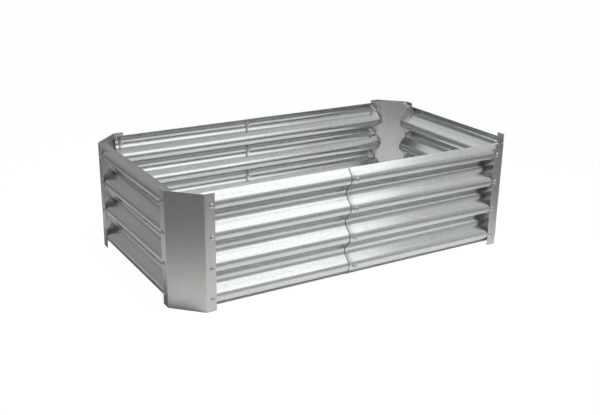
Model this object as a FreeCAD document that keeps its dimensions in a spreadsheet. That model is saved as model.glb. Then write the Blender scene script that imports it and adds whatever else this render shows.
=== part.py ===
import FreeCAD, Part
import math
import os
from enum import IntEnum

import Sketcher
from FreeCAD import Placement, Rotation, Vector

# Raised garden bed: an open ring of corrugated sheet walls, with no floor, bolted
# between four corner posts that are each bent from one sheet.
# +X runs along the long walls, the front wall faces -Y, and +Z is up. The origin
# is on the ground, in the middle of the bed.

# The driving dimensions, in millimetres.
SIZES = {
    # the whole bed, over the flat outer faces of the posts
    "bed_length": 1050,
    "bed_width": 600,
    "post_height": 300,
    # corner posts: a plate across the corner and a flange along each wall
    "post_sheet": 1.2,
    "post_chamfer": 70,
    "post_flange": 27,
    "bend_radius": 2,
    # wall panels: sheet rolled in waves that run level
    "panel_sheet": 0.7,
    "wave_pitch": 79.5,
    "wave_depth": 24,
    "flank_length": 15.5,
    "first_crest": 31,
    "panel_lift": 6,
    "panel_drop": 3,
    "corner_gap": 2,
    # the lapped seam in the long walls, left of the middle
    "seam_shift": 30,
    "seam_lap": 32,
    "lap_gap": 0.1,
    "seat_gap": 0.1,
    # bolts through the crests of the waves
    "bolt_inset": 18,
    "bolt_dia": 6,
    "bolt_length": 16,
    "hole_gap": 0.4,
    "hole_margin": 12,
    "head_dia": 12.5,
    "head_height": 3.6,
    "head_rim": 1.1,
    "tip_bevel": 0.8,
    "slot_length": 6,
    "slot_width": 1.3,
    "slot_depth": 1.5,
    # nuts with a round collar, inside the walls
    "nut_flats": 10,
    "nut_height": 6,
    "corner_bevel": 1.2,
    "collar_dia": 14,
    "collar_height": 1.3,
    "thread_gap": 0.05,
}

# Sizes that follow from them, as formulas of the sheet's cells.
# A wave is made of equal arcs joined by straight flanks, and a panel is that curve
# with half a sheet each side.
WAVE_RADIUS = (
    "((Sizes.wave_pitch^2/4 + Sizes.wave_depth^2 - Sizes.flank_length^2)"
    "/(4*Sizes.wave_depth))"
)
HALF_SHEET = "(Sizes.panel_sheet/2)"
NEST = "(Sizes.panel_sheet + Sizes.lap_gap)"
# How many crests take a bolt: all that stand clear of the panel's top edge.
PANEL_TOP = "(Sizes.post_height - Sizes.panel_drop)"
ROWS = (
    f"(floor(({PANEL_TOP} - Sizes.first_crest - Sizes.hole_margin)/Sizes.wave_pitch)"
    " + 1)"
)
HOLE_DIA = "(Sizes.bolt_dia + 2*Sizes.hole_gap)"
# Along each wall, from the middle of the bed.
HALF_LENGTH = "(Sizes.bed_length/2)"
HALF_WIDTH = "(Sizes.bed_width/2)"
LONG_BEND = f"({HALF_LENGTH} - Sizes.post_chamfer)"
SHORT_BEND = f"({HALF_WIDTH} - Sizes.post_chamfer)"
# How deep behind a post's outer face the outermost panel's crests lie.
CREST_DEPTH = "(Sizes.post_sheet + Sizes.seat_gap)"
# The turns that set a piece, drawn for the front wall, against each wall.
TURNS = {"front": 0, "right": 90, "back": 180, "left": 270}


class SketchPoint(IntEnum):
    """How a sketch numbers the points of a line or an arc."""

    START = 1
    END = 2
    CENTRE = 3


class SketchAxis(IntEnum):
    """How a sketch numbers its own axes, as if they were lines."""

    LEVEL = -1
    UPRIGHT = -2


START, END, CENTRE = SketchPoint
H_AXIS, V_AXIS = SketchAxis
# A sketch's origin is the start of its level axis.
ORIGIN_POINT = (H_AXIS, START)

doc = FreeCAD.newDocument("RaisedGardenBed")
sheet = doc.addObject("Spreadsheet::Sheet", "Sizes")
for row, (alias, size) in enumerate(SIZES.items(), start=1):
    sheet.set(f"A{row}", alias)
    sheet.set(f"B{row}", str(size))
    sheet.setAlias(f"B{row}", alias)
doc.recompute()


def value(formula):
    """What a formula of the sheet's cells comes to, as a plain number."""
    return float(sheet.evalExpression(formula))


def origin_feature(body, role):
    for feature in body.Origin.OriginFeatures:
        if feature.Role == role:
            return feature
    raise ValueError(f"{body.Label} has no {role}")


def new_body(name, many=False):
    body = doc.addObject("PartDesign::Body", name)
    body.Label = name
    body.AllowCompound = many
    return body


def new_sketch(body, name, plane, offset=None):
    """A sketch on one of the body's planes, or off it along the plane's normal."""
    sketch = body.newObject("Sketcher::SketchObject", name)
    sketch.AttachmentSupport = [(origin_feature(body, plane), "")]
    sketch.MapMode = "FlatFace"
    if offset is not None:
        sketch.setExpression("AttachmentOffset.Base.z", offset)
    return sketch


def drive(sketch, kind, *where, by):
    """Adds a dimension and ties it to a formula."""
    index = sketch.addConstraint(Sketcher.Constraint(kind, *where, value(by)))
    name = f"{kind}_{index}"
    sketch.renameConstraint(index, name)
    sketch.setExpression(f"Constraints.{name}", by)


def fix_point(sketch, geometry, point, across, up):
    """Sets a point's place from the sketch's origin."""
    drive(sketch, "DistanceX", *ORIGIN_POINT, geometry, point, by=across)
    drive(sketch, "DistanceY", *ORIGIN_POINT, geometry, point, by=up)


def join(sketch, first, first_point, second, second_point, kind="Coincident"):
    sketch.addConstraint(
        Sketcher.Constraint(kind, first, first_point, second, second_point)
    )


def line(sketch, start, end, construction=False):
    return sketch.addGeometry(
        Part.LineSegment(Vector(*start, 0), Vector(*end, 0)), construction
    )


def arc(sketch, centre, radius, start_angle, end_angle):
    """An arc drawn anticlockwise between two angles in radians."""
    circle = Part.Circle(Vector(*centre, 0), Vector(0, 0, 1), radius)
    return sketch.addGeometry(Part.ArcOfCircle(circle, start_angle, end_angle), False)


def ring_of_lines(sketch, corners):
    """A closed outline of straight sides, joined at its corners."""
    ends = corners[1:] + corners[:1]
    sides = [line(sketch, start, end) for start, end in zip(corners, ends)]
    for first, second in zip(sides, sides[1:] + sides[:1]):
        join(sketch, first, END, second, START)
    return sides


def rectangle(sketch, left, bottom, right, top):
    """A closed rectangle whose corners follow four formulas."""
    x0, y0, x1, y1 = (value(formula) for formula in (left, bottom, right, top))
    sides = ring_of_lines(sketch, [(x0, y0), (x1, y0), (x1, y1), (x0, y1)])
    for side in (0, 2):
        sketch.addConstraint(Sketcher.Constraint("Horizontal", sides[side]))
    for side in (1, 3):
        sketch.addConstraint(Sketcher.Constraint("Vertical", sides[side]))
    fix_point(sketch, sides[0], START, left, bottom)
    fix_point(sketch, sides[2], START, right, top)


def close_sheet(sketch, face, other_face, point):
    """The cut edge of a sheet, between the same end of its two faces."""
    ends = [sketch.getPoint(side, point) for side in (face, other_face)]
    edge = line(sketch, *((end.x, end.y) for end in ends))
    join(sketch, edge, START, face, point)
    join(sketch, edge, END, other_face, point)
    return edge


def join_by_flank(sketch, first, first_point, second, second_point):
    """A straight line from one arc's end to another's, without a corner."""
    ends = [sketch.getPoint(first, first_point), sketch.getPoint(second, second_point)]
    flank = line(sketch, *((end.x, end.y) for end in ends))
    join(sketch, first, first_point, flank, START, "Tangent")
    join(sketch, flank, END, second, second_point, "Tangent")


def circle(sketch, across, up, diameter):
    ring = sketch.addGeometry(
        Part.Circle(
            Vector(value(across), value(up), 0), Vector(0, 0, 1), value(diameter) / 2
        ),
        False,
    )
    fix_point(sketch, ring, CENTRE, across, up)
    drive(sketch, "Diameter", ring, by=diameter)


def pad(body, sketch, name, length):
    feature = body.newObject("PartDesign::Pad", name)
    feature.Profile = sketch
    feature.setExpression("Length", length)
    sketch.Visibility = False
    doc.recompute()
    return feature


def pocket(body, sketch, name, depth=None):
    """A cut through everything, or of one depth against the sketch's normal."""
    before = body.Shape.Volume
    feature = body.newObject("PartDesign::Pocket", name)
    feature.Profile = sketch
    if depth is None:
        feature.Type = "ThroughAll"
        feature.Midplane = True
    else:
        feature.Type = "Length"
        feature.setExpression("Length", depth)
    sketch.Visibility = False
    doc.recompute()
    if not body.Shape.Volume < before:
        raise RuntimeError(f"{body.Label}: {name} cut nothing")
    return feature


def repeat_up(body, features, name, count):
    """Repeats features up the height, one wave apart."""
    pattern = body.newObject("PartDesign::LinearPattern", name)
    pattern.Originals = features
    pattern.Direction = (origin_feature(body, "Z_Axis"), [""])
    pattern.setExpression("Length", f"Sizes.wave_pitch*({count} - 1)")
    pattern.setExpression("Occurrences", count)
    body.Tip = pattern
    doc.recompute()
    return pattern


def place(body, turn, across, along, up="0"):
    """Turns a body about the vertical and ties its place to formulas."""
    body.Placement = Placement(Vector(0, 0, 0), Rotation(Vector(0, 0, 1), turn))
    body.setExpression("Placement.Base.x", across)
    body.setExpression("Placement.Base.y", along)
    body.setExpression("Placement.Base.z", up)


def wall_place(wall, shift, depth):
    """The point of a wall that lies a shift along it, seen from outside with the
    front wall's left as its low end, and a depth behind its outer face."""
    return {
        "front": (f"{shift}", f"{depth} - {HALF_WIDTH}"),
        "right": (f"{HALF_LENGTH} - {depth}", f"{shift}"),
        "back": (f"-({shift})", f"{HALF_WIDTH} - {depth}"),
        "left": (f"{depth} - {HALF_LENGTH}", f"-({shift})"),
    }[wall]


def post_section(body):
    """The plan of a post, from the corner where its two walls' faces would meet."""
    sketch = new_sketch(body, "Section", "XY_Plane")
    leg = value("Sizes.post_chamfer")
    reach = leg + value("Sizes.post_flange")
    thick = value("Sizes.post_sheet")
    inner = value("Sizes.bend_radius")
    outer = inner + thick
    set_back = outer * math.tan(math.radians(22.5))
    near = leg - set_back / math.sqrt(2)
    far = set_back / math.sqrt(2)
    centres = [(leg + set_back, outer), (outer, leg + set_back)]
    # the outer face: flange, bend, plate, bend, flange
    skin = [
        line(sketch, (reach, 0), (leg + set_back, 0)),
        arc(sketch, centres[0], outer, math.radians(225), math.radians(270)),
        line(sketch, (near, far), (far, near)),
        arc(sketch, centres[1], outer, math.radians(180), math.radians(225)),
        line(sketch, (0, leg + set_back), (0, reach)),
    ]
    # the inner face, a sheet's thickness behind it
    shift = thick / math.sqrt(2)
    lining = [
        line(sketch, (reach, thick), (leg + set_back, thick)),
        arc(sketch, centres[0], inner, math.radians(225), math.radians(270)),
        line(sketch, (near + shift, far + shift), (far + shift, near + shift)),
        arc(sketch, centres[1], inner, math.radians(180), math.radians(225)),
        line(sketch, (thick, leg + set_back), (thick, reach)),
    ]
    for run in (skin, lining):
        join(sketch, run[0], END, run[1], END, "Tangent")
        join(sketch, run[1], START, run[2], START, "Tangent")
        join(sketch, run[2], END, run[3], END, "Tangent")
        join(sketch, run[3], START, run[4], START, "Tangent")
    for bend in (1, 3):
        join(sketch, skin[bend], CENTRE, lining[bend], CENTRE)
    for flange, point, way in ((0, START, "Vertical"), (4, END, "Horizontal")):
        edge = close_sheet(sketch, skin[flange], lining[flange], point)
        sketch.addConstraint(Sketcher.Constraint(way, edge))
    # the plate's outer face runs through the two points where the flanges turn
    guide = line(sketch, (leg, 0), (0, leg), True)
    fix_point(sketch, guide, START, "Sizes.post_chamfer", "0")
    fix_point(sketch, guide, END, "0", "Sizes.post_chamfer")
    for point in (START, END):
        sketch.addConstraint(
            Sketcher.Constraint("PointOnObject", skin[2], point, guide)
        )
    sketch.addConstraint(Sketcher.Constraint("PointOnObject", skin[0], START, H_AXIS))
    sketch.addConstraint(Sketcher.Constraint("PointOnObject", skin[4], END, V_AXIS))
    for run in (skin, lining):
        sketch.addConstraint(Sketcher.Constraint("Horizontal", run[0]))
        sketch.addConstraint(Sketcher.Constraint("Vertical", run[4]))
    full = "Sizes.post_chamfer + Sizes.post_flange"
    drive(sketch, "DistanceX", *ORIGIN_POINT, skin[0], START, by=full)
    drive(sketch, "DistanceY", *ORIGIN_POINT, skin[4], END, by=full)
    drive(sketch, "Radius", skin[1], by="Sizes.bend_radius + Sizes.post_sheet")
    drive(sketch, "Radius", skin[3], by="Sizes.bend_radius + Sizes.post_sheet")
    drive(sketch, "Radius", lining[1], by="Sizes.bend_radius")
    drive(sketch, "Radius", lining[3], by="Sizes.bend_radius")
    return sketch


def make_post(name, turn, across, along):
    body = new_body(name)
    pad(body, post_section(body), "Sheet", "Sizes.post_height")
    bolt_line = "Sizes.post_chamfer + Sizes.bolt_inset"
    for side, plane in (("Front", "XZ_Plane"), ("Side", "YZ_Plane")):
        sketch = new_sketch(body, f"{side}Hole", plane)
        circle(sketch, bolt_line, "Sizes.first_crest", HOLE_DIA)
        hole = pocket(body, sketch, f"{side}HoleCut")
        repeat_up(body, [hole], f"{side}Holes", ROWS)
    place(body, turn, across, along)
    return body


def wave_section(body, nest):
    """One wave of the sheet, on the wave below the lowest crest. Outwards is -Y.
    nest is how far the sheet's middle lies outside the plain wave."""
    sketch = new_sketch(body, "Wave", "YZ_Plane")
    valley_across = f"-(2*{WAVE_RADIUS} - Sizes.wave_depth)"
    middle = "-Sizes.wave_pitch"
    step = value("Sizes.wave_pitch") / 2
    crest = (0, value(middle))
    # a flank leans back from the line between the two centres that it runs between
    lean = math.atan2(value("Sizes.flank_length"), 2 * value(WAVE_RADIUS))
    tilt = math.atan2(step, -value(valley_across)) - lean
    faces = []
    for crest_sign in (1, -1):
        crest_radius = f"{WAVE_RADIUS} + {nest} + {crest_sign}*{HALF_SHEET}"
        valley_radius = f"{WAVE_RADIUS} - {nest} - {crest_sign}*{HALF_SHEET}"
        top = (value(valley_across), crest[1] + step)
        bottom = (value(valley_across), crest[1] - step)
        face = (
            arc(sketch, crest, value(crest_radius), math.pi - tilt, math.pi + tilt),
            arc(sketch, top, value(valley_radius), -tilt, 0),
            arc(sketch, bottom, value(valley_radius), 0, tilt),
        )
        drive(sketch, "Radius", face[0], by=crest_radius)
        for valley, crest_point, valley_point in ((1, START, START), (2, END, END)):
            drive(sketch, "Radius", face[valley], by=valley_radius)
            join_by_flank(sketch, face[0], crest_point, face[valley], valley_point)
        faces.append(face)
    fix_point(sketch, faces[0][0], CENTRE, "0", middle)
    fix_point(sketch, faces[0][1], CENTRE, valley_across, f"{middle}/2")
    fix_point(sketch, faces[0][2], CENTRE, valley_across, f"3*{middle}/2")
    for part in range(3):
        join(sketch, faces[0][part], CENTRE, faces[1][part], CENTRE)
    # the sheet is cut square where a valley is deepest, at the joint of two waves
    for part, point in ((1, END), (2, START)):
        close_sheet(sketch, faces[0][part], faces[1][part], point)
        for face in faces:
            sketch.addConstraint(
                Sketcher.Constraint(
                    "Horizontal", face[part], CENTRE, face[part], point
                )
            )
    return sketch


def make_panel(name, wall, low_end, length, low_hole, high_hole, nest, depth):
    """A wall panel. low_end is where it starts along its wall, the holes' places
    are from its two ends, and depth is how far its crests' centres lie behind the
    wall's outer face."""
    body = new_body(name)
    one = pad(body, wave_section(body, nest), "OneWave", length)
    repeat_up(body, [one], "Waves", f"({ROWS} + 2)")
    # the edges are cut level, clear of the ground and of the posts' tops
    edges = new_sketch(body, "Edges", "XZ_Plane")
    bottom = "Sizes.panel_lift - Sizes.first_crest"
    top = f"{PANEL_TOP} - Sizes.first_crest"
    rectangle(edges, "-1", "-2*Sizes.wave_pitch", f"{length} + 1", bottom)
    rectangle(
        edges, "-1", top, f"{length} + 1", f"({ROWS} + 1)*Sizes.wave_pitch"
    )
    pocket(body, edges, "EdgeCut")
    holes = new_sketch(body, "CrestHoles", "XZ_Plane")
    circle(holes, low_hole, "0", HOLE_DIA)
    circle(holes, f"{length} - ({high_hole})", "0", HOLE_DIA)
    cut = pocket(body, holes, "CrestHoleCut")
    repeat_up(body, [cut], "HoleRows", ROWS)
    place(body, TURNS[wall], *wall_place(wall, low_end, depth), "Sizes.first_crest")
    return body


def bolt_outline(body):
    """Half of a bolt's section, head at -Y, from its crown round to its tip."""
    sketch = new_sketch(body, "Outline", "XY_Plane")
    head = value("Sizes.head_dia") / 2
    rim = value("Sizes.head_rim")
    rise = value("Sizes.head_height")
    shank = value("Sizes.bolt_dia") / 2
    length = value("Sizes.bolt_length")
    bevel = value("Sizes.tip_bevel")
    dome = ((rise - rim) ** 2 + head**2) / (2 * (rise - rim))
    swing = math.asin(head / dome)
    crown = arc(sketch, (0, dome - rise), dome, -math.pi / 2, swing - math.pi / 2)
    corners = [
        (head, -rim),
        (head, 0),
        (shank, 0),
        (shank, length - bevel),
        (shank - bevel, length),
        (0, length),
        (0, -rise),
    ]
    sides = [line(sketch, start, end) for start, end in zip(corners, corners[1:])]
    rim_side, seat, shank_side, tip, flat, axis = sides
    loop = [crown, *sides]
    for first, second in zip(loop, loop[1:] + loop[:1]):
        join(sketch, first, END, second, START)
    sketch.addConstraint(Sketcher.Constraint("PointOnObject", crown, CENTRE, V_AXIS))
    for upright in (rim_side, shank_side):
        sketch.addConstraint(Sketcher.Constraint("Vertical", upright))
    sketch.addConstraint(Sketcher.Constraint("Horizontal", flat))
    fix_point(sketch, crown, START, "0", "-Sizes.head_height")
    fix_point(sketch, crown, END, "Sizes.head_dia/2", "-Sizes.head_rim")
    sketch.addConstraint(Sketcher.Constraint("PointOnObject", seat, START, H_AXIS))
    fix_point(sketch, shank_side, START, "Sizes.bolt_dia/2", "0")
    shoulder = "Sizes.bolt_length - Sizes.tip_bevel"
    drive(sketch, "DistanceY", *ORIGIN_POINT, shank_side, END, by=shoulder)
    narrow = "Sizes.bolt_dia/2 - Sizes.tip_bevel"
    fix_point(sketch, flat, START, narrow, "Sizes.bolt_length")
    sketch.addConstraint(Sketcher.Constraint("PointOnObject", axis, START, V_AXIS))
    return sketch


def make_bolts(name, wall, shift, depth):
    """A column of domed bolts. depth is where their heads sit."""
    body = new_body(name, many=True)
    outline = bolt_outline(body)
    turned = body.newObject("PartDesign::Revolution", "Turned")
    turned.Profile = outline
    turned.ReferenceAxis = (outline, ["V_Axis"])
    turned.Angle = 360
    outline.Visibility = False
    doc.recompute()
    features = [turned]
    # the cross in the head, as two slots sunk from its crown
    for way, wide, high in (
        ("Across", "Sizes.slot_length/2", "Sizes.slot_width/2"),
        ("Upright", "Sizes.slot_width/2", "Sizes.slot_length/2"),
    ):
        slot = new_sketch(body, f"{way}Slot", "XZ_Plane", "Sizes.head_height")
        rectangle(slot, f"-{wide}", f"-{high}", wide, high)
        features.append(pocket(body, slot, f"{way}SlotCut", "Sizes.slot_depth"))
    repeat_up(body, features, "Column", ROWS)
    place(body, TURNS[wall], *wall_place(wall, shift, depth), "Sizes.first_crest")
    return body


def hexagon_outline(body):
    """A hexagon with a corner on the level axis, by the distance over its flats."""
    sketch = new_sketch(body, "Hexagon", "XZ_Plane")
    corner = value("Sizes.nut_flats") / math.sqrt(3)
    turns = [math.radians(60 * turn) for turn in range(6)]
    corners = [(corner * math.cos(turn), corner * math.sin(turn)) for turn in turns]
    sides = ring_of_lines(sketch, corners)
    round_corners = Part.Circle(Vector(0, 0, 0), Vector(0, 0, 1), corner)
    guide = sketch.addGeometry(round_corners, True)
    join(sketch, guide, CENTRE, *ORIGIN_POINT)
    for side in sides:
        sketch.addConstraint(Sketcher.Constraint("PointOnObject", side, START, guide))
    for side in sides[1:]:
        sketch.addConstraint(Sketcher.Constraint("Equal", sides[0], side))
    sketch.addConstraint(Sketcher.Constraint("PointOnObject", sides[0], START, H_AXIS))
    drive(sketch, "Distance", sides[1], START, sides[4], by="Sizes.nut_flats")
    return sketch


def bevel_corners(body):
    """Turns down the hexagon's outer corners, as on a pressed nut."""
    sketch = new_sketch(body, "CornerTriangle", "XY_Plane")
    inner = "Sizes.nut_flats/2"
    outer = "Sizes.nut_flats/2 + Sizes.corner_bevel"
    top = "Sizes.nut_height"
    low = "Sizes.nut_height - Sizes.corner_bevel*tan(30)"
    corners = [
        (value(inner), value(top)),
        (value(outer), value(low)),
        (value(outer), value(top)),
    ]
    sides = ring_of_lines(sketch, corners)
    for side, (across, up) in zip(sides, ((inner, top), (outer, low), (outer, top))):
        fix_point(sketch, side, START, across, up)
    before = body.Shape.Volume
    groove = body.newObject("PartDesign::Groove", "CornerCut")
    groove.Profile = sketch
    groove.ReferenceAxis = (sketch, ["V_Axis"])
    groove.Angle = 360
    sketch.Visibility = False
    doc.recompute()
    if not body.Shape.Volume < before:
        raise RuntimeError(f"{body.Label}: the corner bevel cut nothing")
    return groove


def make_nuts(name, wall, shift, depth):
    """A column of hexagon nuts. depth is where their collars sit."""
    body = new_body(name, many=True)
    hexagon = pad(body, hexagon_outline(body), "HexagonPad", "Sizes.nut_height")
    hexagon.Reversed = True
    doc.recompute()
    bevel = bevel_corners(body)
    rim = new_sketch(body, "Collar", "XZ_Plane")
    circle(rim, "0", "0", "Sizes.collar_dia")
    collar = pad(body, rim, "CollarPad", "Sizes.collar_height")
    collar.Reversed = True
    doc.recompute()
    thread = new_sketch(body, "Thread", "XZ_Plane")
    circle(thread, "0", "0", "Sizes.bolt_dia + 2*Sizes.thread_gap")
    bore = pocket(body, thread, "ThreadCut")
    repeat_up(body, [hexagon, bevel, collar, bore], "Column", ROWS)
    place(body, TURNS[wall], *wall_place(wall, shift, depth), "Sizes.first_crest")
    return body


nodes = []

# Corner posts
for name, turn, across, along in (
    ("post_front_left", 0, f"-{HALF_LENGTH}", f"-{HALF_WIDTH}"),
    ("post_front_right", 90, HALF_LENGTH, f"-{HALF_WIDTH}"),
    ("post_back_right", 180, HALF_LENGTH, HALF_WIDTH),
    ("post_back_left", 270, f"-{HALF_LENGTH}", HALF_WIDTH),
):
    nodes.append(make_post(name, turn, across, along))

# Panels. In each long wall the right-hand panel laps over the left-hand one on the
# outside, so it follows the same wave one sheet further out.
SEAM = "(-Sizes.seam_shift)"
POST_HOLE = "(Sizes.bolt_inset - Sizes.corner_gap)"
SEAM_HOLE = "(Sizes.seam_lap/2)"
LONG_END = f"({LONG_BEND} - Sizes.corner_gap)"
SHORT_END = f"({SHORT_BEND} - Sizes.corner_gap)"
LEFT_LENGTH = f"({SEAM} + {SEAM_HOLE} + {LONG_END})"
RIGHT_LENGTH = f"({LONG_END} - {SEAM} + {SEAM_HOLE})"
END_CENTRES = f"({CREST_DEPTH} + {HALF_SHEET} + {WAVE_RADIUS})"
LONG_CENTRES = f"({END_CENTRES} + {NEST})"
for name, wall, low_end, length, low_hole, high_hole, nest in (
    ("panel_front_left", "front", f"-{LONG_END}", LEFT_LENGTH, POST_HOLE, SEAM_HOLE, "0"),
    (
        "panel_front_right",
        "front",
        f"({SEAM} - {SEAM_HOLE})",
        RIGHT_LENGTH,
        SEAM_HOLE,
        POST_HOLE,
        NEST,
    ),
    (
        "panel_back_left",
        "back",
        f"-({SEAM} + {SEAM_HOLE})",
        LEFT_LENGTH,
        SEAM_HOLE,
        POST_HOLE,
        "0",
    ),
    ("panel_back_right", "back", f"-{LONG_END}", RIGHT_LENGTH, POST_HOLE, SEAM_HOLE, NEST),
):
    nodes.append(
        make_panel(
            name, wall, low_end, length, low_hole, high_hole, nest, LONG_CENTRES
        )
    )
for name, wall in (("panel_left_end", "left"), ("panel_right_end", "right")):
    nodes.append(
        make_panel(
            name,
            wall,
            f"-{SHORT_END}",
            f"2*{SHORT_END}",
            POST_HOLE,
            POST_HOLE,
            "0",
            END_CENTRES,
        )
    )

# Bolts and nuts, one column in each flange and one in each seam. A nut's collar
# rests with its edge on the hollow side of the crest.
LONG_BOLT = f"({LONG_BEND} - Sizes.bolt_inset)"
SHORT_BOLT = f"({SHORT_BEND} - Sizes.bolt_inset)"


def nut_depth(behind, nest):
    """Depth of a nut's seat in a crest whose outer face lies a depth behind the
    wall's outer face."""
    hollow = f"({WAVE_RADIUS} + {nest} - {HALF_SHEET})"
    rise = f"({hollow} - sqrt({hollow}^2 - (Sizes.collar_dia/2)^2))"
    return f"({behind} + Sizes.panel_sheet + {rise} + Sizes.seat_gap)"


PLAIN_NUT = nut_depth(CREST_DEPTH, "0")
OUTER_NUT = nut_depth(CREST_DEPTH, NEST)
INNER_NUT = nut_depth(f"({CREST_DEPTH} + {NEST})", "0")
for name, wall, shift, head_depth, seat in (
    ("front_left_long", "front", f"-{LONG_BOLT}", "0", INNER_NUT),
    ("front_seam", "front", SEAM, "Sizes.post_sheet", INNER_NUT),
    ("front_right_long", "front", LONG_BOLT, "0", OUTER_NUT),
    ("front_right_short", "right", f"-{SHORT_BOLT}", "0", PLAIN_NUT),
    ("back_right_short", "right", SHORT_BOLT, "0", PLAIN_NUT),
    ("back_right_long", "back", f"-{LONG_BOLT}", "0", OUTER_NUT),
    ("back_seam", "back", f"-{SEAM}", "Sizes.post_sheet", INNER_NUT),
    ("back_left_long", "back", LONG_BOLT, "0", INNER_NUT),
    ("back_left_short", "left", f"-{SHORT_BOLT}", "0", PLAIN_NUT),
    ("front_left_short", "left", SHORT_BOLT, "0", PLAIN_NUT),
):
    nodes.append(make_bolts(f"bolts_{name}", wall, shift, head_depth))
    nodes.append(make_nuts(f"nuts_{name}", wall, shift, seat))

doc.recompute()

for thing in doc.Objects:
    if "Invalid" in thing.State or "Error" in thing.State:
        raise RuntimeError(f"{thing.Label} failed: {thing.State}")
for node in nodes:
    if node.Shape.isNull() or not node.Shape.isValid():
        raise RuntimeError(f"{node.Label} has no valid shape")

os.makedirs("parts", exist_ok=True)
for node in nodes:
    node.Shape.exportStep(f"parts/{node.Label}.step")
    box = node.Shape.BoundBox
    print(
        f"{node.Label}: {len(node.Shape.Solids)} solid(s), {node.Shape.Volume:.0f} mm3,"
        f" x {box.XMin:.1f} to {box.XMax:.1f}, y {box.YMin:.1f} to {box.YMax:.1f},"
        f" z {box.ZMin:.1f} to {box.ZMax:.1f}"
    )
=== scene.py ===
import math
import random

import bmesh
import bpy
from bpy.props import FloatProperty, FloatVectorProperty, IntProperty, PointerProperty
from mathutils import Matrix, Vector, noise


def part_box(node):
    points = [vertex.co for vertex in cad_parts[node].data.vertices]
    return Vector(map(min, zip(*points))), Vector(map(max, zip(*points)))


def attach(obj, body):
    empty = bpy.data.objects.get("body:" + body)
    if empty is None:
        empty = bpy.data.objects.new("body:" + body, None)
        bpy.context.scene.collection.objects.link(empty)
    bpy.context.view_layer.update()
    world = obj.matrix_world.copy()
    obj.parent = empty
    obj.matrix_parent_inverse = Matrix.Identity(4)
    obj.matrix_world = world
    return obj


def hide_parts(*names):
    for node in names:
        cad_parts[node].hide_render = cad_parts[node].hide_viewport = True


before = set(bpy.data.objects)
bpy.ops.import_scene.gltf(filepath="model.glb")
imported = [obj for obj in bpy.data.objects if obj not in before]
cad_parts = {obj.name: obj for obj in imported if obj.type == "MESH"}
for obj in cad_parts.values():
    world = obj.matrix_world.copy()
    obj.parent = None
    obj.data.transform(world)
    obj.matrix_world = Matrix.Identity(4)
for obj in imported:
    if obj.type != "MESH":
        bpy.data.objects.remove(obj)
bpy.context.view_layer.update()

bl_info = {
    "name": "Raised Garden Bed",
    "version": (1, 0, 0),
    "blender": (4, 5, 0),
    "location": "3D View > Sidebar > Garden Bed",
    "description": "Dresses a corrugated steel garden bed: walls, posts, bolts, nuts, stage",
    "category": "Object",
}

BODY = "root"
# The quarter turns that carry the front wall to each wall.
TURNS = {"front": 0, "right": 90, "back": 180, "left": 270}
X_AXIS = Vector((1, 0, 0))
Y_AXIS = Vector((0, 1, 0))
Z_AXIS = Vector((0, 0, 1))
WHITE = (1, 1, 1, 1)
# Points closer together than this are one point.
SAME_PLACE = 1e-7
# Edges that turn by more than this many degrees look sharp.
SHEET_SHARP = 40
FASTENER_SHARP = 30


class SheetSizes(bpy.types.PropertyGroup):
    """The sheet metal of the walls and the corner posts."""

    wave_pitch: FloatProperty(
        name="Wave pitch", description="Height from one crest to the next",
        default=0.0795, unit="LENGTH",
    )
    wave_depth: FloatProperty(
        name="Wave depth", description="How far the valleys lie behind the crests",
        default=0.024, unit="LENGTH",
    )
    flank_length: FloatProperty(
        name="Flank length", description="Length of the straight flanks between a wave's arcs",
        default=0.0155, unit="LENGTH",
    )
    first_crest: FloatProperty(
        name="First crest", description="Height of the lowest crest over the ground",
        default=0.031, unit="LENGTH",
    )
    wall_sheet: FloatProperty(
        name="Wall sheet", description="Thickness of the corrugated sheet",
        default=0.0007, unit="LENGTH",
    )
    lap_step: FloatProperty(
        name="Lap step", description="How far a lapping panel's wave lies outside the plain one",
        default=0.0008, unit="LENGTH",
    )
    lip_lift: FloatProperty(
        name="Lip lift", description="How far a lapping panel's end stands off the plain one",
        default=0.0013, unit="LENGTH",
    )
    lip_width: FloatProperty(
        name="Lip width", description="How far in from its end a lapping panel lifts",
        default=0.014, unit="LENGTH",
    )
    post_sheet: FloatProperty(
        name="Post sheet", description="Thickness of the posts' sheet",
        default=0.0012, unit="LENGTH",
    )
    post_chamfer: FloatProperty(
        name="Post chamfer", description="How far the corner plate cuts into each wall",
        default=0.070, unit="LENGTH",
    )
    bend_radius: FloatProperty(
        name="Bend radius", description="Inner radius where a post's flanges turn",
        default=0.002, unit="LENGTH",
    )
    cell: FloatProperty(
        name="Cell", description="Spacing of the mesh along a sheet",
        default=0.008, unit="LENGTH",
    )
    arc_step: FloatProperty(
        name="Arc step", description="Largest turn from one point of a wave to the next",
        default=math.radians(6), subtype="ANGLE",
    )
    wall_unevenness: FloatProperty(
        name="Wall unevenness", description="How far the rolled sheet strays from its true wave",
        default=0.0003, unit="LENGTH",
    )
    post_unevenness: FloatProperty(
        name="Post unevenness", description="How far a post's plate strays from flat",
        default=0.0004, unit="LENGTH",
    )
    ripple: FloatProperty(
        name="Ripple", description="Length of the sheets' slow unevenness",
        default=0.16, unit="LENGTH",
    )


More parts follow.
